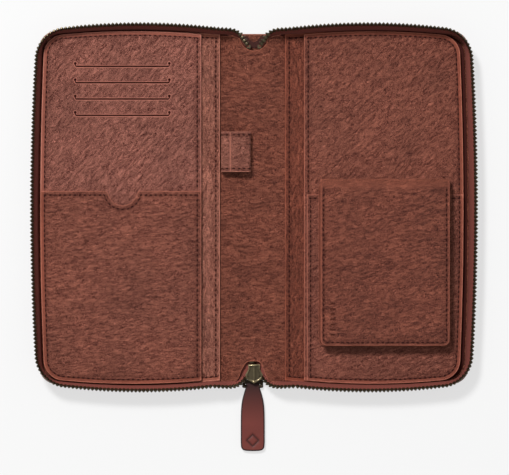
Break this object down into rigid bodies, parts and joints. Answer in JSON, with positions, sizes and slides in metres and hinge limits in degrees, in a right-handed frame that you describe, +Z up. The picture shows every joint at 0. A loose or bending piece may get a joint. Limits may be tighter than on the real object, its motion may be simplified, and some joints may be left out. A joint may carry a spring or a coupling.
{
  "type": "travel document organizer",
  "caption": "Zip-round leather travel document organizer lying open flat, with card slots, a passport pocket, a pen loop, a slip pocket, a flapped coin pouch and a leather zip puller.",
  "frame": {"origin": "centre of the spine's outer face, which rests on the table", "axes": "+X towards the right cover (the one with the coin pouch), +Y along the spine towards the end without the puller, +Z up out of the open inside"},
  "size_m": [0.279, 0.2679, 0.0152],
  "materials": {
    "outer_leather": "pebbled full grain, chestnut brown",
    "inner_leather": "pebbled full grain, chestnut brown, tone-on-tone stitching",
    "puller_leather": "smooth, painted edges",
    "lining_textile": "fine plain weave",
    "zip_tape": "woven tape, dark burgundy brown",
    "antique_brass": "dark antique brass, rubbed bright on its edges",
    "board": "bonded leather board",
    "magnet": "nickel-plated"
  },
  "bodies": {
    "right_half": {"right_cover": "outer_leather", "right_board": "board", "right_lining": "lining_textile", "right_zip_tape": "zip_tape", "right_zip_teeth": "antique_brass", "right_edge_welt": "inner_leather", "right_document_panel": "inner_leather", "right_facing_panel": "inner_leather", "right_slip_pocket": "inner_leather", "pouch_back": "inner_leather", "pouch_gusset": "inner_leather", "pouch_front": "inner_leather", "pouch_magnet": "magnet"},
    "pouch_fold": {"pouch_fold": "inner_leather"},
    "pouch_flap": {"pouch_flap": "inner_leather", "flap_magnet": "magnet"},
    "spine": {"spine_cover": "outer_leather", "spine_board": "board", "spine_lining": "inner_leather", "tail_tape": "zip_tape", "tail_teeth": "antique_brass", "bottom_stop": "antique_brass", "head_tape": "zip_tape", "head_teeth": "antique_brass", "left_top_stop": "antique_brass", "right_top_stop": "antique_brass"},
    "left_half": {"left_cover": "outer_leather", "left_board": "board", "left_lining": "lining_textile", "left_zip_tape": "zip_tape", "left_zip_teeth": "antique_brass", "left_edge_welt": "inner_leather", "left_document_panel": "inner_leather", "card_pocket_1": "lining_textile", "card_pocket_2": "lining_textile", "card_pocket_3": "lining_textile", "card_pocket_4": "lining_textile", "left_card_panel": "inner_leather", "passport_pocket": "inner_leather"},
    "pen_loop": {"pen_loop": "inner_leather"},
    "zip_slider": {"slider_body": "antique_brass"},
    "puller_link": {"puller_link": "antique_brass"},
    "puller_tab": {"puller_tab": "puller_leather"}
  },
  "joints": [
    {"name": "spine_right_fold", "type": "hinge", "parent": "right_half", "child": "spine", "pos_m": [0.014, 0, 0.0014], "axis": [0, 1, 0], "range_deg": [0, 90]},
    {"name": "spine_left_fold", "type": "hinge", "parent": "spine", "child": "left_half", "pos_m": [-0.014, 0, 0.0014], "axis": [0, 1, 0], "range_deg": [0, 90]},
    {"name": "pouch_fold_turn", "type": "hinge", "parent": "right_half", "child": "pouch_fold", "pos_m": [0.08165, 0.0179, 0.0075], "axis": [1, 0, 0], "range_deg": [-80, 0]},
    {"name": "pouch_flap_turn", "type": "hinge", "parent": "pouch_fold", "child": "pouch_flap", "pos_m": [0.08165, 0.0179, 0.01345], "axis": [1, 0, 0], "range_deg": [-70, 0]},
    {"name": "pen_loop_turn", "type": "hinge", "parent": "left_half", "child": "pen_loop", "pos_m": [-0.0213, 0.03475, 0.0045], "axis": [0, 1, 0], "range_deg": [-90, 0]},
    {"name": "zip_slide", "type": "slide", "parent": "spine", "child": "zip_slider", "axis": [0, 1, 0], "range_m": [-0.007, 0]},
    {"name": "puller_link_turn", "type": "hinge", "parent": "zip_slider", "child": "puller_link", "pos_m": [-0.0008, -0.104, 0.0016], "axis": [1, 0, 0], "range_deg": [0, 85]},
    {"name": "puller_tab_turn", "type": "hinge", "parent": "puller_link", "child": "puller_tab", "pos_m": [-0.0008, -0.112, 0.0016], "axis": [1, 0, 0], "range_deg": [-90, 90]}
  ],
  "couplings": [
    {"joint": "pouch_flap_turn", "follows": "pouch_fold_turn", "ratio": 0.875},
    {"joint": "pen_loop_turn", "follows": "spine_left_fold", "ratio": -1}
  ]
}
